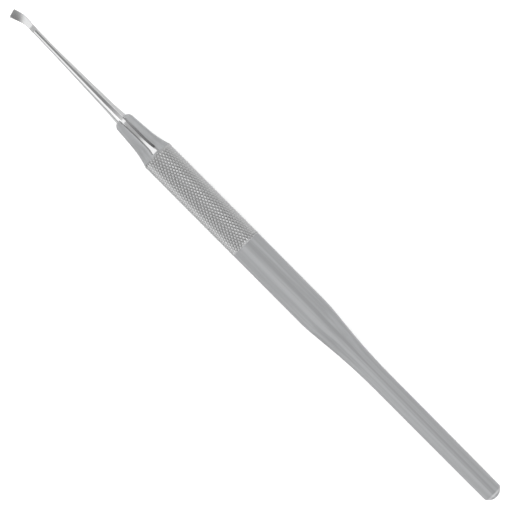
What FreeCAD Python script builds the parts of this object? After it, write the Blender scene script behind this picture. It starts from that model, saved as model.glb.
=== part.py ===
import FreeCAD, Part
import Sketcher

import math
import os

from FreeCAD import Placement, Rotation, Vector

# Chisel scaler, one piece of stainless steel, in millimetres. It lies on a table with its long axis along X,
# the blade towards +X and the face of the blade up. While it is modelled, the tail end is at X = 0 and the
# long axis is at Y = Z = 0. The finished solid is then moved, so that the origin is under its middle.
# Angles are in degrees. An offset is along Y and a level along Z, both from the long axis.

SIZES = {
    # slim tail, very slightly conical, with a domed end
    "tail_length": 37.8,
    "tail_end_diameter": 4.86,
    "tail_diameter": 5.02,
    "tail_dome_radius": 2.8,
    "tail_rim_radius": 0.8,
    # ogee swell from the tail to the grip
    "swell_length": 23.6,
    "swell_hollow_radius": 150,
    "swell_crown_radius": 43,
    # smooth grip
    "smooth_length": 21.6,
    "grip_diameter": 7.85,
    # diamond knurl
    "knurl_length": 29.4,
    "knurl_diameter": 8,
    "knurl_depth": 0.22,
    "knurl_starts": 32,
    "knurl_helix_angle": 30,
    "knurl_end_step": 0.03,
    "knurl_core_wall": 0.35,
    # hollow front cone and rounded nose
    "cone_length": 10.5,
    "cone_back_diameter": 7.76,
    "cone_hollow_radius": 25,
    "cone_taper": 4,
    "nose_diameter": 4.88,
    "nose_radius": 1.6,
    # trumpet flare
    "flare_length": 7.1,
    "flare_diameter": 3.2,
    "flare_hollow_radius": 80,
    # shank, gently bent away from the blade's side
    "shank_back_length": 9,
    "shank_back_diameter": 2.43,
    "shank_middle_length": 8,
    "shank_middle_diameter": 1.89,
    "shank_middle_offset": -0.08,
    "shank_front_length": 7.05,
    "shank_front_diameter": 1.52,
    "shank_front_offset": -0.17,
    # neck, with a small facet ground on its side
    "neck_diameter": 1.47,
    "neck_offset": -0.28,
    "neck_facet_length": 1.15,
    "neck_facet_depth": 0.18,
    "neck_facet_angle": 50,
    # blade blank: oval sections that flatten and sweep sideways
    "root_length": 1.45,
    "root_width": 1.62,
    "root_thickness": 1.3,
    "root_offset": -0.31,
    "root_level": -0.12,
    "belly_length": 1.9,
    "belly_width": 2.1,
    "belly_thickness": 0.9,
    "belly_offset": -0.08,
    "belly_level": -0.36,
    "heel_length": 1.4,
    "heel_width": 2.33,
    "heel_thickness": 0.72,
    "heel_offset": 0.35,
    "heel_level": -0.45,
    "edge_length": 1.03,
    "edge_offset": 0.62,
    "toe_length": 0.8,
    "toe_width": 2.37,
    "toe_thickness": 0.64,
    "toe_offset": 0.84,
    "toe_level": -0.45,
    # face of the blade: falls from the neck, turned a little sideways, and ends level
    "face_neck_level": 0.35,
    "face_neck_roll": 12,
    "face_root_level": 0.06,
    "face_root_roll": 11,
    "face_belly_level": -0.24,
    "face_belly_roll": 5,
    "face_level": -0.27,
    # straight cutting edge, square to the swept blade and bevelled from below
    "edge_sweep": 17.3,
    "edge_land": 0.05,
    "edge_bevel": 45,
    # thumb flute: its floor lies this far under the cone, the nose's rounding included
    "flute_depth": 0.7,
    # its cutter stands on a plane that falls towards the nose, and is widest at its top
    "flute_bottom_level": 2.62,
    "flute_bottom_slope": 6.5,
    "flute_rise": 1.4,
    # four stations, from the knurl's end: side walls at the bottom, and how far they lean out at the top
    "flute_end_place": 0.35,
    "flute_end_near": 0.35,
    "flute_end_far": 0.95,
    "flute_end_near_lean": 0.6,
    "flute_end_far_lean": 0.45,
    "flute_back_place": 1.7,
    "flute_back_near": 0.14,
    "flute_back_far": 0.36,
    "flute_back_near_lean": 0.75,
    "flute_back_far_lean": 1.54,
    "flute_nose_place": 10.3,
    "flute_nose_near": 0.27,
    "flute_nose_far": 0.19,
    "flute_nose_near_lean": 0.6,
    "flute_nose_far_lean": 1.22,
    "flute_mouth_place": 12.3,
    "flute_mouth_near": 0.45,
    "flute_mouth_far": 0.45,
    "flute_mouth_near_lean": 0.85,
    "flute_mouth_far_lean": 1.45,
}

# Zones in their order along the instrument. Each has a length of its own, which moves all that follows.
ZONES = ("tail", "swell", "smooth", "knurl", "cone", "flare", "shank_back", "shank_middle", "shank_front",
         "root", "belly", "heel", "edge", "toe")

# Ends of a sketch's line or arc, as the constraints number them.
START = 1
END = 2
CENTRE = 3
X_AXIS = -1

# Tools that cut the blade reach this far past it.
BLADE_REACH = 4


def end_of(zone):
    """Distance from the tail end to the front end of a zone, as an expression."""
    return " + ".join(f"sizes.{name}_length" for name in ZONES[:ZONES.index(zone) + 1])


def add_sheet(doc):
    sheet = doc.addObject("Spreadsheet::Sheet", "sizes")
    for row, (name, value) in enumerate(SIZES.items(), start=1):
        sheet.set(f"A{row}", name)
        sheet.set(f"B{row}", str(value))
        sheet.setAlias(f"B{row}", name)
    doc.recompute()
    return sheet


def add_sketch(body, role, name):
    """A sketch on one of the body's own origin planes."""
    plane = next(item for item in body.Origin.OriginFeatures if item.Role == role)
    sketch = body.newObject("Sketcher::SketchObject", name)
    sketch.AttachmentSupport = [(plane, "")]
    sketch.MapMode = "FlatFace"
    return sketch


def bind(sketch, kind, *where, size):
    """A driving constraint whose value follows an expression."""
    value = float(sketch.evalExpression(size))
    if kind == "Angle":
        value = math.radians(value)
    index = sketch.addConstraint(Sketcher.Constraint(kind, *where, value))
    sketch.setExpression(f"Constraints[{index}]", size)


def place(sketch, **bindings):
    """Shift or turn a sketch on its plane, such as Base_z="..." or Rotation_Yaw="..."."""
    for path, size in bindings.items():
        sketch.setExpression("AttachmentOffset." + path.replace("_", "."), size)


class Outline:
    """A chain of lines and arcs in a sketch, each joined to the one before it."""

    def __init__(self, sketch, x=0.0, y=0.0):
        self.sketch = sketch
        self.first = None
        self.last = None
        self.point = Vector(x, y)

    def join(self, index, head, tail, point, smooth):
        if self.last is None:
            self.first = (index, head)
        else:
            kind = "Tangent" if smooth else "Coincident"
            self.sketch.addConstraint(Sketcher.Constraint(kind, *self.last, index, head))
        self.last = (index, tail)
        self.point = point
        return index, tail

    def line(self, x, y, smooth=False):
        point = Vector(x, y)
        index = self.sketch.addGeometry(Part.LineSegment(self.point, point), False)
        return self.join(index, START, END, point, smooth)

    def arc(self, x, y, radius, smooth=False):
        """A short arc that turns right, or left where the radius is negative."""
        point = Vector(x, y)
        chord = point - self.point
        rise = math.sqrt(radius ** 2 - (chord.Length / 2) ** 2)
        centre = self.point + chord / 2 + Vector(chord.y, -chord.x).normalize() * math.copysign(rise, radius)
        ends = (self.point, point) if radius < 0 else (point, self.point)
        angles = [math.atan2(end.y - centre.y, end.x - centre.x) for end in ends]
        circle = Part.Circle(centre, Vector(0, 0, 1), abs(radius))
        index = self.sketch.addGeometry(Part.ArcOfCircle(circle, *angles), False)
        head, tail = (START, END) if radius < 0 else (END, START)
        return self.join(index, head, tail, point, smooth)

    def close(self):
        self.sketch.addConstraint(Sketcher.Constraint("Coincident", *self.last, *self.first))


def draw_cone(outline, size, x, sunk):
    """The hollow and the taper of the front cone, or of the flute's floor that is sunk under it."""
    taper = math.radians(size("cone_taper"))
    nose = size("nose_diameter") / 2 - sunk
    fall = (size("cone_back_diameter") - size("nose_diameter")) / 2 - size("cone_length") * taper
    hollow_x = x["knurl"] + math.sqrt(2 * size("cone_hollow_radius") * fall)
    hollow_end = outline.arc(hollow_x, nose + (x["cone"] - hollow_x) * taper, -size("cone_hollow_radius"))
    taper_end = outline.line(x["cone"], nose, smooth=True)
    return hollow_end, taper_end


def bind_cone(sketch, hollow_end, taper_end, sunk):
    bind(sketch, "Radius", hollow_end[0], size="sizes.cone_hollow_radius")
    bind(sketch, "Angle", taper_end[0], size="-sizes.cone_taper")
    bind(sketch, "DistanceX", *taper_end, size=end_of("cone"))
    bind(sketch, "DistanceY", *taper_end, size=f"sizes.nose_diameter / 2 - {sunk}")


def draw_turned_outline(body, size):
    """Half the section of the handle, from the tail's dome to the nose."""
    sketch = add_sketch(body, "XZ_Plane", "turned_outline")
    x = {zone: sketch.evalExpression(end_of(zone)) for zone in ZONES}
    tail = size("tail_diameter") / 2
    grip = size("grip_diameter") / 2
    core = grip - size("knurl_core_wall")
    dome = size("tail_dome_radius")
    rim = size("tail_rim_radius")
    hollow = size("swell_hollow_radius")
    crown = size("swell_crown_radius")

    # the points start near their places, and the constraints then move them there
    rim_x = dome - math.sqrt((dome - rim) ** 2 - (tail - rim) ** 2)
    dome_x = dome - (dome - rim_x) * dome / (dome - rim)
    slope = (grip - tail) / (size("swell_length") * 0.6)
    outline = Outline(sketch)
    dome_end = outline.arc(dome_x, (tail - rim) * dome / (dome - rim), dome)
    rim_end = outline.arc(rim_x, tail, rim, smooth=True)
    tail_end = outline.line(x["tail"], tail, smooth=True)
    hollow_end = outline.arc(x["tail"] + hollow * slope, tail + hollow * slope ** 2 / 2, -hollow, smooth=True)
    outline.line(x["swell"] - crown * slope, grip - crown * slope ** 2 / 2, smooth=True)
    crown_end = outline.arc(x["swell"], grip, crown, smooth=True)
    smooth_end = outline.line(x["smooth"], grip, smooth=True)
    back_step = outline.line(x["smooth"], core)
    core_end = outline.line(x["knurl"], core)
    front_step = outline.line(x["knurl"], size("cone_back_diameter") / 2)
    cone = draw_cone(outline, size, x, 0)
    nose_end = outline.arc(x["cone"] + size("nose_radius") * 0.9, size("shank_back_diameter") / 2,
                           size("nose_radius"), smooth=True)
    front_end = outline.line(outline.point.x, 0)
    axis_end = outline.line(0, 0)
    outline.close()

    def fix(kind, *where):
        sketch.addConstraint(Sketcher.Constraint(kind, *where))

    fix("Coincident", *axis_end, X_AXIS, START)
    fix("PointOnObject", dome_end[0], CENTRE, X_AXIS)
    for line, _ in (smooth_end, core_end, axis_end):
        fix("Horizontal", line)
    for line, _ in (back_step, front_step, front_end):
        fix("Vertical", line)
    bind(sketch, "Angle", tail_end[0],
         size="atan((sizes.tail_diameter - sizes.tail_end_diameter) / 2 / sizes.tail_length)")
    bind_cone(sketch, *cone, "0")
    radii = ((dome_end, "tail_dome"), (rim_end, "tail_rim"), (hollow_end, "swell_hollow"),
             (crown_end, "swell_crown"), (nose_end, "nose"))
    for (arc, _), name in radii:
        bind(sketch, "Radius", arc, size=f"sizes.{name}_radius")
    stations = ((tail_end, "tail"), (crown_end, "swell"), (smooth_end, "smooth"), (core_end, "knurl"))
    for point, zone in stations:
        bind(sketch, "DistanceX", *point, size=end_of(zone))
    heights = ((tail_end, "tail"), (smooth_end, "grip"), (front_step, "cone_back"), (nose_end, "shank_back"))
    for point, name in heights:
        bind(sketch, "DistanceY", *point, size=f"sizes.{name}_diameter / 2")
    bind(sketch, "DistanceY", *core_end, size="sizes.grip_diameter / 2 - sizes.knurl_core_wall")
    return sketch


def turn(body, name, outline):
    """Turn an outline about the long axis."""
    turned = body.newObject("PartDesign::Revolution", name)
    turned.Profile = outline
    turned.ReferenceAxis = (outline, ["H_Axis"])
    turned.Angle = 360
    turned.Refine = False
    return turned


def add_round_section(body, zone, name, offset="0"):
    """A round section of the shank at the front end of a zone."""
    sketch = add_sketch(body, "YZ_Plane", f"{name}_section")
    place(sketch, Base_x=offset, Base_z=end_of(zone))
    circle = sketch.addGeometry(Part.Circle(Vector(), Vector(0, 0, 1), 1), False)
    sketch.addConstraint(Sketcher.Constraint("Coincident", circle, CENTRE, X_AXIS, START))
    bind(sketch, "Diameter", circle, size=f"sizes.{name}_diameter")
    return sketch


def add_oval_section(body, zone):
    """An oval section of the blade, lying flat, at the front end of a zone."""
    sketch = add_sketch(body, "YZ_Plane", f"{zone}_section")
    place(sketch, Base_x=f"sizes.{zone}_offset", Base_y=f"sizes.{zone}_level", Base_z=end_of(zone))
    half_width = sketch.evalExpression(f"sizes.{zone}_width") / 2
    half_thickness = sketch.evalExpression(f"sizes.{zone}_thickness") / 2
    oval = sketch.addGeometry(Part.Ellipse(Vector(half_width, 0), Vector(0, half_thickness), Vector()), False)
    sketch.exposeInternalGeometry(oval)
    long_axis = oval + 1
    short_axis = oval + 2
    sketch.addConstraint(Sketcher.Constraint("Coincident", oval, CENTRE, X_AXIS, START))
    sketch.addConstraint(Sketcher.Constraint("Horizontal", long_axis))
    bind(sketch, "Distance", long_axis, size=f"sizes.{zone}_width")
    bind(sketch, "Distance", short_axis, size=f"sizes.{zone}_thickness")
    return sketch


def add_loft(body, kind, name, sections):
    loft = body.newObject(f"PartDesign::{kind}", name)
    loft.Profile = sections[0]
    loft.Sections = sections[1:]
    loft.Refine = False
    return loft


def add_shank(body):
    """The shank narrows from the flare to the neck and bends a little to one side."""
    sections = [add_round_section(body, "flare", "shank_back"),
                add_round_section(body, "shank_back", "shank_middle", "sizes.shank_middle_offset"),
                add_round_section(body, "shank_middle", "shank_front", "sizes.shank_front_offset"),
                add_round_section(body, "shank_front", "neck", "sizes.neck_offset")]
    return add_loft(body, "AdditiveLoft", "shank", sections)


def add_blade_blank(body):
    """The round neck is flattened, widened and swept to the other side."""
    neck = body.Document.getObject("neck_section")
    sections = [add_oval_section(body, zone) for zone in ("root", "belly", "heel", "toe")]
    return add_loft(body, "AdditiveLoft", "blade_blank", [neck] + sections)


def add_polygon(body, role, name, corners):
    """A closed outline of straight sides. Each corner is a pair of expressions."""
    sketch = add_sketch(body, role, name)
    points = [Vector(*(sketch.evalExpression(size) for size in corner)) for corner in corners]
    outline = Outline(sketch, points[0].x, points[0].y)
    ends = [outline.line(point.x, point.y) for point in points[1:] + points[:1]]
    outline.close()
    for end, (x, y) in zip(ends, corners[1:] + corners[:1]):
        bind(sketch, "DistanceX", *end, size=x)
        bind(sketch, "DistanceY", *end, size=y)
    return sketch


def add_cutting_rectangle(body, name, bottom):
    """A rectangle across the long axis that cuts away all that lies above its bottom edge."""
    top = f"{bottom} + {BLADE_REACH}"
    corners = [(f"-{BLADE_REACH}", bottom), (f"{BLADE_REACH}", bottom),
               (f"{BLADE_REACH}", top), (f"-{BLADE_REACH}", top)]
    return add_polygon(body, "YZ_Plane", name, corners)


def cut_blade_face(body):
    """The flat face falls from a shoulder at the neck and untwists until it is level at the edge."""
    stations = (("shank_front", "neck_offset", "face_neck_level", "-sizes.face_neck_roll"),
                ("root", "root_offset", "face_root_level", "-sizes.face_root_roll"),
                ("belly", "belly_offset", "face_belly_level", "-sizes.face_belly_roll"),
                ("heel", "heel_offset", "face_level", "0"),
                ("toe", "toe_offset", "face_level", "0"))
    sections = []
    for zone, offset, level, roll in stations:
        sketch = add_cutting_rectangle(body, f"face_at_{zone}", f"sizes.{level}")
        place(sketch, Base_x=f"sizes.{offset}", Base_z=end_of(zone), Rotation_Yaw=roll)
        sections.append(sketch)
    return add_loft(body, "SubtractiveLoft", "blade_face", sections)


def add_pocket(body, name, sketch, **bindings):
    pocket = body.newObject("PartDesign::Pocket", name)
    pocket.Profile = sketch
    pocket.Refine = False
    for field, size in bindings.items():
        pocket.setExpression(field, size)
    return pocket


def cut_neck_facet(body):
    """A small flat on the side of the neck, where the blade's grinding began."""
    sketch = add_cutting_rectangle(body, "facet_outline", "sizes.neck_diameter / 2 - sizes.neck_facet_depth")
    place(sketch, Base_x="sizes.neck_offset", Base_z=f"{end_of('shank_front')} - sizes.neck_facet_length",
          Rotation_Yaw="-sizes.neck_facet_angle")
    pocket = add_pocket(body, "neck_facet", sketch, Length="sizes.neck_facet_length")
    pocket.Reversed = True
    return pocket


def cut_edge(body):
    """The cutting edge, square to the swept blade: a thin land, then a bevel ground from below."""
    land = "sizes.face_level - sizes.edge_land"
    foot = f"{land} - {BLADE_REACH} * tan(sizes.edge_bevel)"
    corners = [("0", f"{BLADE_REACH}"), ("0", land), (f"-{BLADE_REACH}", foot),
               (f"{BLADE_REACH}", foot), (f"{BLADE_REACH}", f"{BLADE_REACH}")]
    sketch = add_polygon(body, "XZ_Plane", "edge_outline", corners)
    place(sketch, Base_x=end_of("edge"), Base_z="-sizes.edge_offset", Rotation_Pitch="sizes.edge_sweep")
    pocket = add_pocket(body, "cutting_edge", sketch)
    pocket.Midplane = True
    pocket.Length = 2 * BLADE_REACH
    return pocket


def cut_flute(body):
    """Mill the thumb flute: a narrow waist, a mouth through the nose and a fishtail at the knurl."""
    stations = [f"sizes.flute_{name}" for name in ("end", "back", "nose", "mouth")]
    bottom = [(f"{station}_place", f"{station}_near") for station in stations]
    bottom += [(f"{station}_place", f"-{station}_far") for station in reversed(stations)]
    top = [(f"{station}_place", f"{station}_near + {station}_near_lean") for station in stations]
    top += [(f"{station}_place", f"-{station}_far - {station}_far_lean") for station in reversed(stations)]
    slope = "sizes.flute_bottom_slope"
    sections = []
    for name, corners, rise in (("flute_bottom", bottom, "0"), ("flute_top", top, "sizes.flute_rise")):
        sketch = add_polygon(body, "XY_Plane", name, corners)
        place(sketch, Base_x=f"{end_of('knurl')} + {rise} * sin({slope})",
              Base_z=f"sizes.flute_bottom_level + {rise} * cos({slope})", Rotation_Pitch=slope)
        sections.append(sketch)
    flute = add_loft(body, "SubtractiveLoft", "thumb_flute", sections)
    flute.Ruled = True
    return flute


def add_core(body, size):
    """The core that the flute lays bare, and the trumpet flare that goes on from it."""
    sketch = add_sketch(body, "XZ_Plane", "core_outline")
    x = {zone: sketch.evalExpression(end_of(zone)) for zone in ZONES}
    sunk = size("flute_depth")
    outline = Outline(sketch, x["knurl"], 0)
    back_end = outline.line(x["knurl"], size("cone_back_diameter") / 2 - sunk)
    cone = draw_cone(outline, size, x, sunk)
    nose_end = outline.arc(x["cone"] + size("nose_radius") * 0.4, size("flare_diameter") / 2,
                           size("nose_radius"), smooth=True)
    flare_end = outline.arc(x["flare"], size("shank_back_diameter") / 2, -size("flare_hollow_radius"))
    front_end = outline.line(x["flare"], 0)
    axis_end = outline.line(x["knurl"], 0)
    outline.close()

    sketch.addConstraint(Sketcher.Constraint("PointOnObject", *axis_end, X_AXIS))
    sketch.addConstraint(Sketcher.Constraint("Horizontal", axis_end[0]))
    for line, _ in (back_end, front_end):
        sketch.addConstraint(Sketcher.Constraint("Vertical", line))
    bind_cone(sketch, *cone, "sizes.flute_depth")
    bind(sketch, "Radius", nose_end[0], size="sizes.nose_radius")
    bind(sketch, "Radius", flare_end[0], size="sizes.flare_hollow_radius")
    bind(sketch, "DistanceX", *back_end, size=end_of("knurl"))
    bind(sketch, "DistanceY", *back_end, size="sizes.cone_back_diameter / 2 - sizes.flute_depth")
    bind(sketch, "DistanceX", *flare_end, size=end_of("flare"))
    bind(sketch, "DistanceY", *flare_end, size="sizes.shank_back_diameter / 2")
    bind(sketch, "DistanceY", *nose_end, size="sizes.flare_diameter / 2")
    return turn(body, "core_and_flare", sketch)


def knurl_solid(size, start, length):
    """A faceted diamond knurl: rings of evenly spaced points, by turns on the crest and in the groove."""
    angle_count = 2 * round(size("knurl_starts"))
    crest = size("knurl_diameter") / 2
    groove = crest - size("knurl_depth")
    half_pitch = math.pi * crest / round(size("knurl_starts"))
    row_count = round(length / (half_pitch / math.tan(math.radians(size("knurl_helix_angle")))))
    back_end = size("grip_diameter") / 2 - size("knurl_end_step")
    front_end = size("cone_back_diameter") / 2 - size("knurl_end_step")

    def radius(row, place_number):
        if row == 0:
            return back_end
        if row == row_count:
            return front_end
        return crest if (row + place_number) % 2 == 0 else groove

    rings = []
    for row in range(row_count + 1):
        x = start + length * row / row_count
        ring = []
        for number in range(angle_count):
            angle = 2 * math.pi * number / angle_count
            reach = radius(row, number)
            ring.append(Vector(x, reach * math.sin(angle), reach * math.cos(angle)))
        rings.append(ring)

    faces = [Part.Face(Part.makePolygon(ring + ring[:1])) for ring in (rings[0], rings[-1])]
    for row, (back, front) in enumerate(zip(rings, rings[1:])):
        for number in range(angle_count):
            after = (number + 1) % angle_count
            if (row + number) % 2 == 0:
                triangles = ((back[number], back[after], front[number]),
                             (back[after], front[after], front[number]))
            else:
                triangles = ((back[number], back[after], front[after]),
                             (back[number], front[after], front[number]))
            faces += [Part.Face(Part.makePolygon([*corners, corners[0]])) for corners in triangles]
    shell = Part.makeShell(faces)
    shell.sewShape()
    return Part.makeSolid(shell)


def add_scaler(doc, body, size):
    """The ground and fluted blank and its knurl are one piece of steel."""
    knurl = doc.addObject("Part::Feature", "diamond_knurl")
    knurl.Shape = knurl_solid(size, body.evalExpression(end_of("smooth")), size("knurl_length"))
    scaler = doc.addObject("Part::Fuse", "scaler")
    scaler.Label = "scaler"
    scaler.Base = body
    scaler.Tool = knurl
    scaler.Refine = False
    doc.recompute()
    box = scaler.Shape.optimalBoundingBox()
    scaler.Placement = Placement(Vector(-box.Center.x, -box.Center.y, -box.ZMin), Rotation())
    return scaler


def check(doc):
    """Stop if any step failed, left no valid shape or left a sketch loose."""
    for item in doc.Objects:
        if "Invalid" in item.State or "Error" in item.State:
            raise RuntimeError(f"{item.Name} failed: {item.getStatusString()}")
        if item.TypeId == "Sketcher::SketchObject" and not item.FullyConstrained:
            raise RuntimeError(f"{item.Name} isn't fully constrained")
        shape = getattr(item, "Shape", None)
        if shape is not None and (shape.isNull() or not shape.isValid()):
            raise RuntimeError(f"{item.Name} has no valid shape")


def main():
    doc = FreeCAD.newDocument("scaler")
    sheet = add_sheet(doc)

    def size(name):
        return float(sheet.get(name))

    body = doc.addObject("PartDesign::Body", "steel_blank")
    turn(body, "turned_blank", draw_turned_outline(body, size))
    cut_flute(body)
    add_core(body, size)
    for step in (add_shank, add_blade_blank, cut_blade_face, cut_edge, cut_neck_facet):
        step(body)
    doc.recompute()
    scaler = add_scaler(doc, body, size)
    doc.recompute()
    check(doc)
    if len(scaler.Shape.Solids) != 1:
        raise RuntimeError("the scaler isn't one solid")
    os.makedirs("parts", exist_ok=True)
    scaler.Shape.exportStep("parts/scaler.step")


main()
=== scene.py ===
import math

import bmesh
import bpy
from mathutils import Matrix, Vector


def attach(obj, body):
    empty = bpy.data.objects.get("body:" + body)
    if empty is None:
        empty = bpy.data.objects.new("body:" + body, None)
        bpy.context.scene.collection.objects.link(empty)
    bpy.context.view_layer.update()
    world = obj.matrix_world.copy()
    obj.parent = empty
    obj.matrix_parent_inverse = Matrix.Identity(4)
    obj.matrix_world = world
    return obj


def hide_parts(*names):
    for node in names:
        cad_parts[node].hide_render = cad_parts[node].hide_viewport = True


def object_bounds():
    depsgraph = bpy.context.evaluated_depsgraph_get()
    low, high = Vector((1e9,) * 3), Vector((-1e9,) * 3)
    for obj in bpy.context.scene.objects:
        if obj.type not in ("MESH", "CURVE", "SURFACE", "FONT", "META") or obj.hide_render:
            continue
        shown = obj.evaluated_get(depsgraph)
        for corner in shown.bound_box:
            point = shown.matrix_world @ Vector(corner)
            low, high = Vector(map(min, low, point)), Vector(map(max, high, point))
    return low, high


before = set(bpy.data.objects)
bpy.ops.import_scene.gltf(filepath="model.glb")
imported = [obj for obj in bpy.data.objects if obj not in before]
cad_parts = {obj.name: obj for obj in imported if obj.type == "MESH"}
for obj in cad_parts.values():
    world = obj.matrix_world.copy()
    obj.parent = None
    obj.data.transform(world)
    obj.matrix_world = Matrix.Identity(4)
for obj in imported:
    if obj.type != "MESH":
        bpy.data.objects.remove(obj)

bl_info = {
    "name": "Dental scaler",
    "version": (1, 0, 0),
    "blender": (4, 5, 0),
    "location": "View3D > Sidebar > Scaler",
    "description": "Makes a one-piece steel chisel scaler and sets it in a plain studio",
    "category": "Object",
}

CAD_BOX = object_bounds()
MM = 0.001

# The tail's end and the long axis, in millimetres, in the frame of the finished scaler.
TAIL_END = CAD_BOX[0][0] / MM
AXIS_LEVEL = (CAD_BOX[0][2] + CAD_BOX[1][2]) / 2 / MM

# Steps in a full turn of a round outline, and the angle from which an edge is shaded sharp.
SEGMENTS = 128
SHARP_ANGLE = math.radians(24)

# How near, in millimetres, a vertex counts as on a station, as the same as another one, or as on a line
# or a plane.
ON_STATION = 1e-3
SAME_VERTEX = 1e-4
ON_PLANE = 1e-5


# Shader maths

class Value:
    """A number socket that adds Math nodes when it is used in an expression."""

    def __init__(self, shader, socket):
        self.shader = shader
        self.socket = socket

    def math(self, operation, *others):
        values = dict(enumerate((self, *others)))
        return self.shader.add("ShaderNodeMath", {"operation": operation}, values)

    def __add__(self, other):
        return self.math("ADD", other)

    def __radd__(self, other):
        return self.math("ADD", other)

    def __sub__(self, other):
        return self.math("SUBTRACT", other)

    def __rsub__(self, other):
        return self.math("MULTIPLY", -1).math("ADD", other)

    def __mul__(self, other):
        return self.math("MULTIPLY", other)

    def __truediv__(self, other):
        return self.math("DIVIDE", other)

    def __pow__(self, other):
        return self.math("POWER", other)

    def between(self, low, high):
        """0 at low, 1 at high, with a smooth rise between them and a level run on either side.

        Where low is the larger one, the rise becomes a fall.
        """
        rises = float(low < high)
        settings = {"interpolation_type": "SMOOTHSTEP", "clamp": True}
        values = {"Value": self, "From Min": min(low, high), "From Max": max(low, high),
                  "To Min": 1 - rises, "To Max": rises}
        return self.shader.add("ShaderNodeMapRange", settings, values)


class Shader:
    """A material or world whose nodes are built from Python."""

    def __init__(self, owner):
        owner.use_nodes = True
        self.tree = owner.node_tree
        self.tree.nodes.clear()

    def add(self, kind, settings=None, inputs=None, output=0):
        """One node: its settings first, then the values or links of its sockets."""
        node = self.tree.nodes.new(kind)
        for name, value in (settings or {}).items():
            setattr(node, name, value)
        for key, value in (inputs or {}).items():
            socket = node.inputs[key]
            if isinstance(value, Value):
                self.tree.links.new(value.socket, socket)
            else:
                socket.default_value = value
        return Value(self, node.outputs[output])

    def point(self, scale=(1, 1, 1)):
        """The place on the object, in millimetres times scale."""
        place = self.add("ShaderNodeTexCoord", output="Object")
        factors = [factor / MM for factor in scale]
        return self.add("ShaderNodeVectorMath", {"operation": "MULTIPLY"}, {0: place, 1: factors})

    def split(self, vector):
        """The three parts of a vector."""
        node = self.add("ShaderNodeSeparateXYZ", inputs={0: vector}).socket.node
        return [Value(self, socket) for socket in node.outputs]

    def noise(self, vector, scale, detail, roughness=0.5):
        """Cloudy noise from 0 to 1."""
        inputs = {"Vector": vector, "Scale": scale, "Detail": detail, "Roughness": roughness}
        return self.add("ShaderNodeTexNoise", inputs=inputs)

    def mix(self, factor, first, second):
        """A colour between two colours."""
        settings = {"data_type": "RGBA"}
        return self.add("ShaderNodeMix", settings, {0: factor, 6: first, 7: second}, output=2)

    def bump(self, height, distance):
        """A normal that makes a pattern look that many metres high."""
        return self.add("ShaderNodeBump", inputs={"Height": height, "Distance": distance, "Strength": 1.0})

    def show(self, kind, output_kind, **inputs):
        """Let the owner show a shader node. An underscore in an input's name stands for a space."""
        shown = self.add(kind, inputs={name.replace("_", " "): value for name, value in inputs.items()})
        output = self.tree.nodes.new(output_kind)
        self.tree.links.new(shown.socket, output.inputs["Surface"])

    def surface(self, **inputs):
        """Finish a material with a Principled shader."""
        self.show("ShaderNodeBsdfPrincipled", "ShaderNodeOutputMaterial", **inputs)

    def background(self, strength):
        """Finish a world with a grey light of that strength."""
        self.show("ShaderNodeBackground", "ShaderNodeOutputWorld", Color=(1, 1, 1, 1), Strength=strength)


def between_stations(along, back, front, blur):
    """A mask that is 1 between two stations of the long axis, with blurred ends."""
    return along.between(back - blur, back + blur) * along.between(front + blur, front - blur)


# Sizes and colours

def millimetres(name, description, default):
    return bpy.props.FloatProperty(name=name, description=description, default=default * MM,
                                   subtype="DISTANCE", unit="LENGTH", precision=5)


def degrees(name, description, default):
    return bpy.props.FloatProperty(name=name, description=description, default=math.radians(default),
                                   subtype="ANGLE", unit="ROTATION")


def whole_number(name, description, default):
    return bpy.props.IntProperty(name=name, description=description, default=default)


def tint(name, description, default):
    return bpy.props.FloatVectorProperty(name=name, description=description, default=default,
                                         subtype="COLOR", size=3, min=0, max=1)


def share(name, description, default):
    return bpy.props.FloatProperty(name=name, description=description, default=default,
                                   subtype="FACTOR", min=0, max=1)


def watts(name, description, default):
    return bpy.props.FloatProperty(name=name, description=description, default=default,
                                   subtype="POWER", unit="POWER", min=0)


def brightness(name, description, default):
    return bpy.props.FloatProperty(name=name, description=description, default=default, min=0)


class HandleSizes(bpy.types.PropertyGroup):
    tail_length: millimetres("Tail length", "Length of the slim tail", 37.8)
    tail_end_diameter: millimetres("Tail end", "Diameter of the tail at its end", 4.86)
    tail_diameter: millimetres("Tail", "Diameter of the tail at the swell", 5.02)
    tail_dome_radius: millimetres("Tail dome", "Radius of the domed end", 2.8)
    tail_rim_radius: millimetres("Tail rim", "Radius that rounds the dome into the tail", 0.8)
    swell_length: millimetres("Swell length", "Length from the tail to the full grip", 23.6)
    swell_hollow_radius: millimetres("Swell hollow", "Radius of the hollow half of the swell", 150)
    swell_crown_radius: millimetres("Swell crown", "Radius of the round half of the swell", 43)
    smooth_length: millimetres("Smooth grip length", "Length of the smooth grip", 21.6)
    grip_diameter: millimetres("Smooth grip", "Diameter of the smooth grip", 7.85)
    cone_length: millimetres("Cone length", "Length of the hollow cone in front of the knurl", 10.5)
    cone_back_diameter: millimetres("Cone back", "Diameter of the cone at the knurl", 7.76)
    cone_hollow_radius: millimetres("Cone hollow", "Radius of the cone's hollow", 25)
    cone_taper: degrees("Cone taper", "Slope of the front of the cone", 4)
    nose_diameter: millimetres("Nose", "Diameter of the nose before it is rounded", 4.88)
    nose_radius: millimetres("Nose rounding", "Radius that rounds the nose", 1.6)
    flare_length: millimetres("Flare length", "Length from the cone's front end to the shank", 7.1)
    flare_diameter: millimetres("Flare", "Diameter of the flare at the nose", 3.2)
    flare_hollow_radius: millimetres("Flare hollow", "Radius of the flare's hollow", 80)
    shank_diameter: millimetres("Shank back", "Diameter of the shank at its back end", 2.43)


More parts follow.
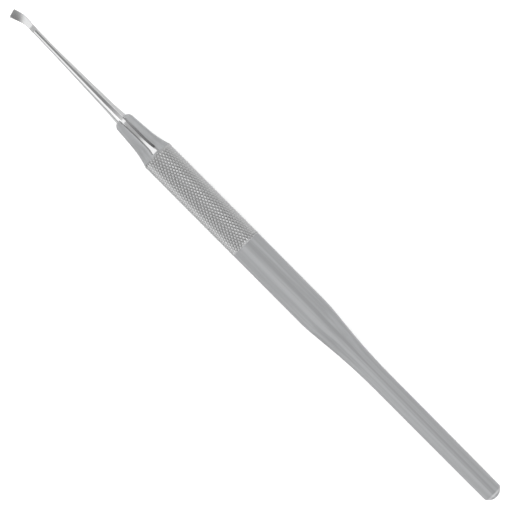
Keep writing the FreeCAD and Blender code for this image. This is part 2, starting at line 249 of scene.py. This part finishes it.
class KnurlSizes(bpy.types.PropertyGroup):
    length: millimetres("Length", "Length of the knurl", 29.4)
    diameter: millimetres("Diameter", "Diameter over the knurl's points", 8)
    depth: millimetres("Depth", "Depth of the knurl's grooves", 0.22)
    flank: millimetres("Flank", "Width of the slope beside a groove", 0.25)
    crown: millimetres("Crown", "Width of the rounding on top of a point", 0.06)
    crown_height: millimetres("Crown height", "Height of that rounding", 0.02)
    starts: whole_number("Starts", "Number of grooves in each direction", 32)
    rows: whole_number("Rows", "Rows of points along the knurl, each half a point after the last", 43)
    end_step: millimetres("End step", "Drop from the handle to the knurl's ends", 0.03)


class FluteSizes(bpy.types.PropertyGroup):
    depth: millimetres("Depth", "Depth of the flute's floor under the cone", 0.7)
    bottom_level: millimetres("Cutter level", "Height of the cutter's bottom at the knurl", 2.62)
    bottom_slope: degrees("Cutter slope", "Fall of the cutter's bottom towards the nose", 6.5)
    rise: millimetres("Cutter height", "Height of the cutter, over which its sides lean out", 1.4)


class BladeSizes(bpy.types.PropertyGroup):
    neck_facet_length: millimetres("Neck facet length", "Length of the flat on the side of the neck", 1.15)
    neck_facet_depth: millimetres("Neck facet depth", "Depth of that flat", 0.18)
    neck_facet_angle: degrees("Neck facet angle", "Turn of that flat from straight up", 50)
    edge_sweep: degrees("Edge sweep", "Turn of the cutting edge", 17.3)
    edge_station: millimetres("Edge", "Distance of the cutting edge's middle from the tail end", 159.83)
    edge_offset: millimetres("Edge offset", "Place of the cutting edge's middle to the side", 0.62)
    edge_land: millimetres("Edge land", "Thickness of the cutting edge", 0.05)
    edge_bevel: degrees("Edge bevel", "Slope of the bevel below the edge", 45)


class SteelFinish(bpy.types.PropertyGroup):
    satin_color: tint("Satin steel", "Colour of the blasted handle", (0.222, 0.226, 0.23))
    polished_color: tint("Polished steel", "Colour of the flute, shank and blade", (0.34, 0.341, 0.343))
    knurl_color: tint("Knurl", "Colour of the flanks of the knurl's points", (0.33, 0.333, 0.336))
    # The knurl's grooves are darkened with painted shade.
    groove_color: tint("Knurl grooves", "Colour at the bottom of the grooves", (0.215, 0.215, 0.215))
    satin_roughness: share("Satin roughness", "How much the blasted handle spreads light", 0.8)
    knurl_roughness: share("Knurl roughness", "How much the flanks of the knurl spread light", 0.32)
    polished_roughness: share("Polish roughness", "How much the polished steel spreads light", 0.09)
    ground_roughness: share("Blade roughness", "How much the ground face of the blade spreads light", 0.22)
    satin_metal: share("Satin shine", "How metallic the blasted handle looks", 0.3)
    knurl_metal: share("Knurl shine", "How metallic the knurl looks", 0.75)
    ground_shade: share("Blade shade", "Brightness of the ground blade, next to the polished steel", 0.92)


class StudioSettings(bpy.types.PropertyGroup):
    floor_color: tint("Floor", "Colour of the floor", (0.94, 0.94, 0.94))
    key_power: watts("Key light", "Power of the large soft box beside the scaler", 2.15)
    strip_power: watts("Strip light", "Power of the narrow light on the other side", 0.095)
    zenith: brightness("Overhead", "Brightness of the dark band above the scaler", 0.6)
    band_tilt: degrees("Band tilt", "Turn of the dark band from straight above to the far side", 14)
    key_wall: brightness("Wall by the key", "Brightness of the studio's wall below the key light", 0.35)
    far_wall: brightness("Far wall", "Brightness of the studio's wall on the other side", 1.6)
    ends: brightness("Ends", "Brightness of the studio beyond the scaler's two ends", 2.6)
    view_width: millimetres("Width in view", "Width that the picture covers", 119.4)
    view_turn: degrees("Turn of the view", "Turn of the picture's upper edge from the long axis", -134.82)
    aim_along: millimetres("Aim along", "Place of the picture's middle on the long axis", -0.66)
    aim_across: millimetres("Aim across", "Place of the picture's middle beside the long axis", 0.21)
    focal_length: bpy.props.FloatProperty(
        name="Focal length", description="Focal length of the camera in millimetres",
        subtype="DISTANCE_CAMERA", min=10, default=200.0)


# Shape of the steel, in millimetres from the tail end, with the long axis along X

class InMillimetres:
    """A group of sizes, read as millimetres. Angles stay in radians and counts stay as they are."""

    def __init__(self, group):
        self.group = group

    def __getattr__(self, name):
        value = getattr(self.group, name)
        unit = self.group.bl_rna.properties[name].unit
        return value / MM if unit == "LENGTH" else value


def arc(centre, radius, start, end, steps):
    """Evenly spaced points on an arc, from one angle to another."""
    angles = [start + (end - start) * step / steps for step in range(steps + 1)]
    return [(centre[0] + radius * math.cos(angle), centre[1] + radius * math.sin(angle))
            for angle in angles]


def back_outline(handle):
    """Half the section of the handle from the tail's dome to the end of the smooth grip."""
    tail = handle.tail_diameter / 2
    grip = handle.grip_diameter / 2
    dome = handle.tail_dome_radius
    rim = handle.tail_rim_radius
    taper = math.atan((tail - handle.tail_end_diameter / 2) / handle.tail_length)
    rim_y = handle.tail_end_diameter / 2 + rim * math.tan(taper) * 2 - rim
    rim_x = dome - math.sqrt((dome - rim) ** 2 - rim_y ** 2)
    rim_start = math.atan2(rim_y, rim_x - dome)
    points = arc((dome, 0), dome, math.pi, rim_start, steps=14)
    points += arc((rim_x, rim_y), rim, rim_start, math.pi / 2 + taper, steps=9)[1:]
    stations = range(4, int(handle.tail_length) - 1, 4)
    points += [(x, tail - (handle.tail_length - x) * math.tan(taper)) for x in stations]

    swell_end = handle.tail_length + handle.swell_length
    hollow = handle.swell_hollow_radius
    crown = handle.swell_crown_radius
    hollow_centre = (handle.tail_length - hollow * math.sin(taper), tail + hollow * math.cos(taper))
    crown_centre = (swell_end, grip - crown)
    run = crown_centre[0] - hollow_centre[0]
    drop = hollow_centre[1] - crown_centre[1]
    slope = math.atan2(run, drop) - math.acos((hollow + crown) / math.hypot(run, drop))
    points += arc(hollow_centre, hollow, taper - math.pi / 2, slope - math.pi / 2, steps=18)
    points += arc(crown_centre, crown, slope + math.pi / 2, math.pi / 2, steps=10)
    points += [(x, grip) for x in spaced(swell_end, swell_end + handle.smooth_length, steps=6)]
    return points


def cone_outline(handle, start, sunk=0.0):
    """Half the section of the hollow cone in front of the knurl, or of the core that lies sunk under it."""
    taper = handle.cone_taper
    nose = handle.nose_diameter / 2
    cone_end = start + handle.cone_length
    hollow = handle.cone_hollow_radius
    ahead = Vector((cone_end + hollow * math.sin(taper), nose + hollow * math.cos(taper)))
    back = Vector((start, handle.cone_back_diameter / 2))
    slide = Vector((-math.cos(taper), math.sin(taper)))
    reach = (ahead - back).dot(slide)
    centre = ahead + slide * (-reach - math.sqrt(reach ** 2 - (ahead - back).length_squared + hollow ** 2))
    first = math.atan2(back.y - centre.y, back.x - centre.x)
    points = arc(centre, hollow, first, -math.pi / 2 - taper, steps=16)
    points += [(cone_end + (points[-1][0] - cone_end) * step / 4, nose + (points[-1][1] - nose) * step / 4)
               for step in (3, 2, 1)]
    return [(x, radius - sunk) for x, radius in points]


def nose_outline(handle, start, last_radius, sunk=0.0):
    """The rounding from the end of the cone, or of its sunk core, down to a radius."""
    taper = handle.cone_taper
    rounding = handle.nose_radius
    centre = (start + handle.cone_length - rounding * math.sin(taper),
              handle.nose_diameter / 2 - sunk - rounding * math.cos(taper))
    last = math.asin((last_radius - centre[1]) / rounding)
    return arc(centre, rounding, math.pi / 2 - taper, last, steps=14)


def flare_outline(handle, begin, end_x):
    """The hollow flare from a point of its outline to the shank."""
    begin = Vector(begin)
    chord = Vector((end_x, handle.shank_diameter / 2)) - begin
    rise = math.sqrt(handle.flare_hollow_radius ** 2 - chord.length_squared / 4)
    centre = begin + chord / 2 + Vector((-chord.y, chord.x)).normalized() * rise
    angles = [math.atan2(point.y - centre.y, point.x - centre.x) for point in (begin, begin + chord)]
    return arc(centre, handle.flare_hollow_radius, *angles, steps=14)[1:]


def spin_outline(mesh, points, steps):
    """Turn an outline round the long axis. Returns the new faces."""
    old = set(mesh.faces)
    verts = [mesh.verts.new((x, 0, radius)) for x, radius in points]
    edges = [mesh.edges.new(pair) for pair in zip(verts, verts[1:])]
    bmesh.ops.spin(mesh, geom=verts + edges, cent=(0, 0, 0), axis=(1, 0, 0), angle=2 * math.pi, steps=steps,
                   use_merge=True)
    poles = [vert for vert in mesh.verts if math.hypot(vert.co.y, vert.co.z) < ON_PLANE]
    bmesh.ops.remove_doubles(mesh, verts=poles, dist=SAME_VERTEX)
    return [face for face in mesh.faces if face not in old]


def open_ring(mesh, station):
    """The mesh's open edges at a station of the long axis."""
    return [edge for edge in mesh.edges if edge.is_boundary
            and all(abs(vert.co.x - station) < ON_STATION for vert in edge.verts)]


def set_radius(verts, radius):
    """Move vertices straight in or out to a distance from the long axis."""
    for vert in verts:
        scale = radius / math.hypot(vert.co.y, vert.co.z)
        vert.co.y *= scale
        vert.co.z *= scale


def cut_knurl(mesh, knurl, start, back_radius, front_radius):
    """Diamonds between crossed grooves: a lattice on the grooves' floor, each cell raised to a point."""
    groove = knurl.diameter / 2 - knurl.depth
    pitch = 2 * knurl.length / knurl.rows
    end = start + knurl.length
    rings = knurl.rows // 2 + 2
    faces = spin_outline(mesh, [(start + ring * pitch, groove) for ring in range(rings)], knurl.starts)
    verts = {vert for face in faces for vert in face.verts}
    half_cell = Matrix.Rotation(math.pi / knurl.starts, 3, "X")
    bmesh.ops.rotate(mesh, verts=list(verts), cent=(0, 0, 0), matrix=half_cell)
    crossing = {edge for face in faces for edge in face.edges if not edge.is_boundary}
    cells = bmesh.ops.poke(mesh, faces=faces)
    set_radius(cells["verts"], groove)
    verts.update(cells["verts"])
    bmesh.ops.dissolve_edges(mesh, edges=list(crossing), use_verts=False)
    whole = [*verts, *{edge for vert in verts for edge in vert.link_edges},
             *{face for vert in verts for face in vert.link_faces}]
    bmesh.ops.bisect_plane(mesh, geom=whole, dist=SAME_VERTEX, plane_co=(end, 0, 0),
                           plane_no=(1, 0, 0), clear_outer=True)
    faces = [face for face in mesh.faces if start < face.calc_center_median().x < end]
    mesh.normal_update()
    if faces[0].normal.dot(faces[0].calc_center_median() * Vector((0, 1, 1))) < 0:
        bmesh.ops.reverse_faces(mesh, faces=faces)
    ends = ((start, back_radius), (end, front_radius))
    for station, radius in ends:
        set_radius({vert for edge in open_ring(mesh, station) for vert in edge.verts
                    if any(face in faces for face in vert.link_faces)}, radius - knurl.end_step)
    sink = knurl.depth - knurl.crown_height
    bmesh.ops.inset_individual(mesh, faces=faces, thickness=knurl.flank, depth=sink, use_even_offset=True)
    bmesh.ops.inset_individual(mesh, faces=faces, thickness=knurl.crown, depth=knurl.crown_height,
                               use_even_offset=True)
    crest = knurl.diameter / 2
    set_radius([vert for vert in mesh.verts if math.hypot(vert.co.y, vert.co.z) > crest], crest)


def knurl_ends(handle, knurl):
    """The stations where the knurl starts and ends."""
    start = handle.tail_length + handle.swell_length + handle.smooth_length
    return start, start + knurl.length


def turn_handle(mesh, handle, knurl):
    """The handle behind the cone, with its knurl joined to the smooth grip and the cone."""
    ends = knurl_ends(handle, knurl)
    cut_knurl(mesh, knurl, ends[0], handle.grip_diameter / 2, handle.cone_back_diameter / 2)
    spin_outline(mesh, back_outline(handle), SEGMENTS)
    for station in ends:
        bmesh.ops.bridge_loops(mesh, edges=open_ring(mesh, station))


# Stations of the shank and of the blade's blank: distance from the tail end, width, thickness, offset to
# the side and level.
SHANK = ((130.0, 2.43, 2.43, 0.0, 0.0),
         (139.0, 1.89, 1.89, -0.08, 0.0),
         (147.0, 1.52, 1.52, -0.17, 0.0),
         (154.05, 1.47, 1.47, -0.28, 0.0))
BLADE = ((154.05, 1.47, 1.47, -0.28, 0.0),
         (155.5, 1.62, 1.3, -0.31, -0.12),
         (157.4, 2.1, 0.9, -0.08, -0.36),
         (158.8, 2.33, 0.72, 0.35, -0.45),
         (160.63, 2.37, 0.64, 0.84, -0.45))

# Stations of the blade's face: distance from the tail end, level, roll in degrees and offset to the side.
FACE = ((154.05, 0.35, 12.0, -0.28),
        (155.5, 0.06, 11.0, -0.31),
        (157.4, -0.24, 5.0, -0.08),
        (158.8, -0.27, 0.0, 0.35),
        (160.63, -0.27, 0.0, 0.84))

# Stations of the flute's cutter: distance from the knurl, its two sides at the bottom, and how far each
# of them leans out over the cutter's height.
FLUTE = ((0.35, 0.35, 0.95, 0.6, 0.45),
         (1.7, 0.14, 0.36, 0.75, 1.54),
         (10.3, 0.27, 0.19, 0.6, 1.22),
         (12.3, 0.45, 0.45, 0.85, 1.45))

# How far beyond their ends the cone and the core are closed while the flute is milled.
SPARE_END = 2.0

# Places of the two finishes in the piece's list of materials.
SATIN = 0
POLISHED = 1

# The blade's ground face is what points up at least this much, of 1. Its flanks and its back stay satin.
BLADE_FACE_RISE = 0.93

# Distances from the tail end of the ring that wear has polished round the tail's rim.
WORN_RIM = (0.7, 1.2)


def blend(stations, x):
    """The values of a row of stations at a place between them, on one smooth curve through them all."""
    values = [0.0] * (len(stations[0]) - 1)
    for station in stations:
        others = [other[0] for other in stations if other is not station]
        weight = math.prod((x - other) / (station[0] - other) for other in others)
        values = [value + weight * own for value, own in zip(values, station[1:])]
    return values


def press_flat(verts, point, normal):
    """Move what stands out of a plane straight back onto it."""
    for vert in verts:
        out = (vert.co - point).dot(normal)
        if out > 0:
            vert.co -= normal * out


def grind_face(verts, x):
    """Flatten the top of a section of the blade down to the blade's face."""
    level, roll, offset = blend(FACE, x)
    turn = math.radians(roll)
    for vert in verts:
        ground = level / math.cos(turn) - (vert.co.y - offset) * math.tan(turn)
        vert.co.z = min(vert.co.z, ground)


def spaced(start, end, steps):
    """Evenly spaced stations after the first, up to the last."""
    return [start + (end - start) * step / steps for step in range(1, steps + 1)]


def draw_shank(mesh, blade):
    """Draw the flare's open end out into the shank and the blade, section by section, then grind them."""
    neck = SHANK[-1][0]
    facet_start = neck - blade.neck_facet_length
    facet_steps = 8
    shank = spaced(SHANK[0][0], facet_start, steps=52)
    stations = [(x, SHANK) for x in [*shank, facet_start, *spaced(facet_start, neck, facet_steps)]]
    stations += [(x, BLADE) for x in [neck, *spaced(neck, BLADE[-1][0], steps=66)]]
    ring = open_ring(mesh, SHANK[0][0])
    last = SHANK[0]
    sections = []
    for x, row in stations:
        drawn = bmesh.ops.extrude_edge_only(mesh, edges=ring)["geom"]
        verts = [item for item in drawn if isinstance(item, bmesh.types.BMVert)]
        fresh = set(verts)
        edges = [item for item in drawn if isinstance(item, bmesh.types.BMEdge)]
        ring = [edge for edge in edges if fresh.issuperset(edge.verts)]
        width, thickness, offset, level = blend(row, x)
        bmesh.ops.translate(mesh, verts=verts, vec=(x - last[0], offset - last[3], level - last[4]))
        bmesh.ops.scale(mesh, verts=verts, vec=(1, width / last[1], thickness / last[2]),
                        space=Matrix.Translation((-x, -offset, -level)))
        last = (x, width, thickness, offset, level)
        sections.append((x, verts))

    normal = Vector((0, math.sin(blade.neck_facet_angle), math.cos(blade.neck_facet_angle)))
    flat = Vector((neck, SHANK[-1][3], 0)) + normal * (SHANK[-1][1] / 2 - blade.neck_facet_depth)
    blade_start = len(shank) + 1 + facet_steps
    for x, verts in sections[len(shank):blade_start]:
        press_flat(verts, flat, normal)
    for x, verts in sections[blade_start:]:
        grind_face(verts, x)
    every_vert = [vert for x, verts in sections for vert in verts]
    bmesh.ops.remove_doubles(mesh, verts=every_vert, dist=SAME_VERTEX)


def grind_edge(mesh, blade):
    """Cut the blade off square to its sweep, then bevel it from below."""
    ahead = Vector((math.cos(blade.edge_sweep), math.sin(blade.edge_sweep), 0))
    edge = Vector((blade.edge_station, blade.edge_offset, FACE[-1][1] - blade.edge_land))
    below = ahead * math.sin(blade.edge_bevel) - Vector((0, 0, math.cos(blade.edge_bevel)))
    for normal in (ahead, below):
        blade_faces = [face for face in mesh.faces if face.calc_center_median().x > BLADE[1][0]]
        parts = {part for face in blade_faces for part in (*face.verts, *face.edges, face)}
        cut = bmesh.ops.bisect_plane(mesh, geom=list(parts), dist=ON_PLANE, plane_co=edge,
                                     plane_no=normal, clear_outer=True)["geom_cut"]
        bmesh.ops.edgeloop_fill(mesh, edges=[item for item in cut if isinstance(item, bmesh.types.BMEdge)])


def add_piece(name, mesh, materials):
    """A new object in the scene from a bmesh, with its sharp edges marked."""
    for face in mesh.faces:
        face.smooth = True
    for edge in mesh.edges:
        edge.smooth = len(edge.link_faces) == 2 and edge.calc_face_angle(0) < SHARP_ANGLE
    data = bpy.data.meshes.new(name)
    mesh.to_mesh(data)
    mesh.free()
    for material in materials:
        data.materials.append(material)
    piece = bpy.data.objects.new(name, data)
    bpy.context.scene.collection.objects.link(piece)
    return piece


def draw_front(handle, start):
    """The cone and its nose, closed inside the knurl and inside the flare."""
    mesh = bmesh.new()
    cone = cone_outline(handle, start)
    nose = nose_outline(handle, start, handle.shank_diameter / 2)
    spin_outline(mesh, [(start - SPARE_END, 0), *cone, *nose, (nose[-1][0], 0)], SEGMENTS)
    return mesh


def draw_core(handle, flute, start):
    """The core that the flute lays bare, with the flare in front of it."""
    mesh = bmesh.new()
    cone = cone_outline(handle, start, flute.depth)
    nose = nose_outline(handle, start, handle.flare_diameter / 2, flute.depth)
    flare_end = start + handle.cone_length + handle.flare_length
    flare = flare_outline(handle, nose[-1], flare_end)
    spin_outline(mesh, [(start, 0), *cone, *nose, *flare, (flare_end + SPARE_END, 0)], SEGMENTS)
    return mesh


def draw_cutter(flute, start):
    """The flute's cutter: it stands on a plane that falls towards the nose, and its sides lean out."""
    mesh = bmesh.new()
    corners = [(place, near, lean) for place, near, _, lean, _ in FLUTE]
    corners += [(place, -far, -lean) for place, _, far, _, lean in reversed(FLUTE)]
    floor = mesh.faces.new([mesh.verts.new((place, side, 0)) for place, side, _ in corners])
    extruded = bmesh.ops.extrude_face_region(mesh, geom=[floor], use_keep_orig=True)["geom"]
    for vert in [item for item in extruded if isinstance(item, bmesh.types.BMVert)]:
        lean = min(corners, key=lambda corner: (vert.co - Vector((*corner[:2], 0))).length)[2]
        vert.co += Vector((0, lean, flute.rise))
    stand = Matrix.Translation((start, 0, flute.bottom_level)) @ Matrix.Rotation(flute.bottom_slope, 4, "Y")
    bmesh.ops.transform(mesh, verts=mesh.verts, matrix=stand)
    return mesh


def mill_flute(front, core, cutter, materials):
    """Mill the cone with the cutter, then put the core back, whose surface is the flute's floor."""
    pieces = []
    stock = (("front", front, SATIN), ("cutter", cutter, POLISHED), ("core", core, POLISHED))
    for name, mesh, finish in stock:
        bmesh.ops.recalc_face_normals(mesh, faces=mesh.faces)
        for face in mesh.faces:
            face.material_index = finish
        pieces.append(add_piece(name, mesh, materials))
    for tool, operation in zip(pieces[1:], ("DIFFERENCE", "UNION")):
        step = pieces[0].modifiers.new(tool.name, "BOOLEAN")
        step.operation = operation
        step.solver = "EXACT"
        step.object = tool
    bpy.context.view_layer.update()
    whole = pieces[0].evaluated_get(bpy.context.evaluated_depsgraph_get())
    milled = bmesh.new()
    milled.from_mesh(whole.to_mesh())
    whole.to_mesh_clear()
    for piece in pieces:
        bpy.data.objects.remove(piece)
    return milled


def open_ends(mesh, *places):
    """Take off the points that close the mesh beyond its ends."""
    spare = [vert for vert in mesh.verts if any(abs(vert.co.x - place) < ON_STATION for place in places)
             and math.hypot(vert.co.y, vert.co.z) < ON_STATION]
    bmesh.ops.delete(mesh, geom=spare, context="VERTS")


# Finish of the steel

def satin_steel(finish, handle, knurl):
    """Blasted steel with faint lengthwise lines, and along its top a painted highlight line and a painted
    shade line. The knurl and the worn rim of the tail shine more.
    """
    material = bpy.data.materials.new("satin_steel")
    shader = Shader(material)
    along, side, height = shader.split(shader.point())
    radius = (side * side + (height - AXIS_LEVEL) ** 2) ** 0.5

    # Masks for the knurl, for its grooves, which get painted shade, and points by how far they are from the
    # axis, and for the rim.
    knurled = between_stations(along, *(TAIL_END + end for end in knurl_ends(handle, knurl)), 0.05)
    crest = knurl.diameter / 2
    groove = knurled * radius.between(crest - 0.03, crest - knurl.depth * 0.9)
    point = knurled * radius.between(crest - 0.07, crest - 0.01)
    rim = between_stations(along, *(TAIL_END + end for end in WORN_RIM), 0.2)

    # Drawn-out noise gives the lengthwise lines. A painted highlight line and a painted shade line, which
    # stand in for reflections, run along the top as well, on either side of its middle, where turn is 0 on
    # top and 1 or -1 at the sides.
    turn = side / radius
    painted_highlight_line = turn.between(0.08, 0.2) * turn.between(0.4, 0.22)
    painted_shade_line = turn.between(-0.34, -0.2) * turn.between(-0.04, -0.16)
    on_top = height.between(AXIS_LEVEL, AXIS_LEVEL + 1)
    lines = shader.noise(shader.point((0.02, 1.0, 1.0)), 0.9, 3.0, 0.6)
    # Painted reflections: the highlight line lightens and the shade line darkens the top of the handle.
    lines = lines + (painted_highlight_line - painted_shade_line) * on_top * 0.4
    mottle = shader.noise(shader.point(), 2.2, 2.0)
    shade = lines.between(0.25, 0.75) * 0.85 + mottle * 0.15
    satin = Vector(finish.satin_color)
    color = shader.mix(shade, (*satin * 0.82, 1), (*satin * 1.16, 1))
    color = shader.mix(knurled, color, (*finish.knurl_color, 1))
    # Painted shade: the bottom of the knurl's grooves is darkened.
    color = shader.mix(groove, color, (*finish.groove_color, 1))
    color = shader.mix(point * 0.1 + rim * 0.6, color, (*finish.polished_color, 1))

    cloud = shader.noise(shader.point((0.25, 1.0, 1.0)), 0.35, 3.0)
    roughness = finish.satin_roughness - 0.05 + cloud * 0.1 - rim * 0.45
    roughness = roughness * (1 - knurled) + knurled * finish.knurl_roughness
    metal = finish.satin_metal + knurled * (finish.knurl_metal - finish.satin_metal)
    metal = metal + rim * (1 - finish.satin_metal)
    blast = shader.noise(shader.point(), 7.0, 4.0, 0.6)
    normal = shader.bump(blast * (1 - knurled * 0.7), 0.005 * MM)
    shader.surface(Base_Color=color, Metallic=metal, Roughness=roughness, Normal=normal)
    return material


def polished_steel(finish, blade):
    """Bright polish on the flute, the flare and the shank, a duller neck and a finely ground blade."""
    material = bpy.data.materials.new("polished_steel")
    shader = Shader(material)
    along = shader.split(shader.point())[0]

    # Masks for all the ground metal, for the neck, and for a dark line of painted shade across the blade's
    # shoulder.
    shoulder = TAIL_END + BLADE[0][0]
    neck_start = shoulder - blade.neck_facet_length
    ground = along.between(neck_start, neck_start + 0.15)
    neck = between_stations(along, neck_start, shoulder, 0.05)
    painted_shoulder_shade = between_stations(along, shoulder - 0.02, shoulder + 0.22, 0.05)

    # Faint lines that run along the metal: those of the polish, and the finer ones of the grinding.
    polish_line = shader.noise(shader.point((0.15, 6.0, 6.0)), 1.5, 3.0)
    grinding = shader.noise(shader.point((1.2, 16.0, 4.0)), 1.5, 3.0)

    polished = Vector(finish.polished_color)
    color = shader.mix(polish_line, (*polished * 0.95, 1), (*polished * 1.05, 1))
    color = shader.mix(ground, color, (*polished * finish.ground_shade, 1))
    # Painted shade: a dark line across the blade's shoulder, where the neck turns into the blade.
    color = shader.mix(painted_shoulder_shade * 0.35, color, (*polished * 0.3, 1))
    roughness = finish.polished_roughness + polish_line * 0.05
    roughness = roughness * (1 - ground) + ground * (finish.ground_roughness - 0.04 + grinding * 0.08)
    roughness = roughness + neck * 0.3
    normal = shader.bump(grinding * ground, 0.002 * MM)
    shader.surface(Base_Color=color, Metallic=1.0, Roughness=roughness, Normal=normal)
    return material


class SCALER_OT_make_scaler(bpy.types.Operator):
    """Turn the handle, knurl it, draw out the shank, grind the blade and mill the thumb flute"""
    bl_idname = "scaler.make_scaler"
    bl_label = "Make the scaler"

    def execute(self, context):
        scene = context.scene
        handle = InMillimetres(scene.scaler_handle)
        knurl = InMillimetres(scene.scaler_knurl)
        flute = InMillimetres(scene.scaler_flute)
        blade = InMillimetres(scene.scaler_blade)
        finish = scene.scaler_finish
        materials = [satin_steel(finish, handle, knurl), polished_steel(finish, blade)]
        knurl_end = knurl_ends(handle, knurl)[1]
        flare_end = knurl_end + handle.cone_length + handle.flare_length
        mesh = mill_flute(draw_front(handle, knurl_end), draw_core(handle, flute, knurl_end),
                          draw_cutter(flute, knurl_end), materials)
        open_ends(mesh, knurl_end - SPARE_END, flare_end + SPARE_END)
        draw_shank(mesh, blade)
        turn_handle(mesh, handle, knurl)
        grind_edge(mesh, blade)
        bmesh.ops.dissolve_degenerate(mesh, dist=SAME_VERTEX, edges=mesh.edges)
        bmesh.ops.recalc_face_normals(mesh, faces=mesh.faces)
        for face in mesh.faces:
            station = face.calc_center_median().x
            if station > flare_end:
                flank = station > BLADE[0][0] and face.normal.z < BLADE_FACE_RISE
                face.material_index = SATIN if flank else POLISHED
        place = Matrix.Translation((TAIL_END * MM, 0, AXIS_LEVEL * MM)) @ Matrix.Scale(MM, 4)
        bmesh.ops.transform(mesh, verts=mesh.verts, matrix=place)
        scaler = add_piece("steel_scaler", mesh, materials)
        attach(scaler, "root")
        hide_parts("scaler")
        return {"FINISHED"}


# Studio, in metres

FLOOR_SIZE = 6


def add_light(name, power, width, length, distance, angle):
    """A soft box beside the scaler, turned to it. The angle in degrees is from straight up towards +Y."""
    data = bpy.data.lights.new(name, "AREA")
    data.shape = "RECTANGLE"
    data.size = length
    data.size_y = width
    data.energy = power
    light = bpy.data.objects.new(name, data)
    bpy.context.scene.collection.objects.link(light)
    turn = Matrix.Rotation(-math.radians(angle), 4, "X")
    light.matrix_world = turn @ Matrix.Translation((0, 0, distance))
    light.visible_camera = False


def studio_world(studio):
    """A plain studio: bright beyond the scaler's ends, with a grey band across that is darkest overhead."""
    world = bpy.data.worlds.new("studio")
    bpy.context.scene.world = world
    shader = Shader(world)
    direction = shader.add("ShaderNodeTexCoord", output="Generated")
    ahead, side, up = shader.split(direction)

    # Each direction is 1 straight along it, 0 across it and -1 straight against it.
    over = up * math.cos(studio.band_tilt) - side * math.sin(studio.band_tilt)
    walls = side.between(-0.2, 0.2) * (studio.key_wall - studio.far_wall) + studio.far_wall
    band = over.between(0.9, 0.74)
    across = walls * band + (1 - band) * studio.zenith
    ends = ahead.between(0.1, 0.4).math("MAXIMUM", ahead.between(-0.55, -0.75))
    ends = ends * side.math("ABSOLUTE").between(0.9, 0.6)
    shader.background(across * (1 - ends) + ends * studio.ends)


class SCALER_OT_build_studio(bpy.types.Operator):
    """Lay the pale floor and hang the soft lights"""
    bl_idname = "scaler.build_studio"
    bl_label = "Build the studio"

    def execute(self, context):
        studio = context.scene.scaler_studio
        bpy.ops.mesh.primitive_plane_add(size=FLOOR_SIZE)
        floor = context.active_object
        floor.name = "floor"
        material = bpy.data.materials.new("pale_floor")
        Shader(material).surface(Base_Color=(*studio.floor_color, 1), Roughness=0.8, Specular_IOR_Level=0.1)
        floor.data.materials.append(material)
        studio_world(studio)
        add_light("key_light", studio.key_power, width=0.62, length=0.5, distance=0.6, angle=49)
        add_light("strip_light", studio.strip_power, width=0.04, length=0.5, distance=0.6, angle=-54)
        return {"FINISHED"}


class SCALER_OT_place_camera(bpy.types.Operator):
    """Look straight down on the scaler, which lies across the picture's diagonal"""
    bl_idname = "scaler.place_camera"
    bl_label = "Place the camera"

    def execute(self, context):
        studio = context.scene.scaler_studio
        data = bpy.data.cameras.new("camera")
        data.lens = studio.focal_length
        data.sensor_width = 36
        data.clip_start = 0.01
        camera = bpy.data.objects.new("camera", data)
        context.scene.collection.objects.link(camera)
        distance = studio.view_width * studio.focal_length / data.sensor_width
        camera.location = (studio.aim_along, studio.aim_across, AXIS_LEVEL * MM + distance)
        camera.rotation_euler = (0, 0, studio.view_turn)
        context.scene.camera = camera
        return {"FINISHED"}


class SCALER_PT_panel(bpy.types.Panel):
    bl_idname = "SCALER_PT_panel"
    bl_label = "Dental scaler"
    bl_space_type = "VIEW_3D"
    bl_region_type = "UI"
    bl_category = "Scaler"

    def draw(self, context):
        for step in STEPS:
            self.layout.operator(step.bl_idname)
        for group in GROUPS:
            for name in GROUPS[group].__annotations__:
                self.layout.prop(getattr(context.scene, group), name)


STEPS = (SCALER_OT_make_scaler, SCALER_OT_build_studio, SCALER_OT_place_camera)
GROUPS = {"scaler_handle": HandleSizes, "scaler_knurl": KnurlSizes, "scaler_flute": FluteSizes,
          "scaler_blade": BladeSizes, "scaler_finish": SteelFinish, "scaler_studio": StudioSettings}
CLASSES = (*GROUPS.values(), *STEPS, SCALER_PT_panel)


def register():
    for item in CLASSES:
        bpy.utils.register_class(item)
    for name, group in GROUPS.items():
        setattr(bpy.types.Scene, name, bpy.props.PointerProperty(type=group))


def unregister():
    for name in GROUPS:
        delattr(bpy.types.Scene, name)
    for item in reversed(CLASSES):
        bpy.utils.unregister_class(item)


def main():
    register()
    bpy.ops.scaler.make_scaler()
    bpy.ops.scaler.build_studio()
    bpy.ops.scaler.place_camera()
    bpy.context.scene.view_settings.view_transform = "Standard"
    bpy.context.view_layer.update()


if __name__ == "__main__":
    main()
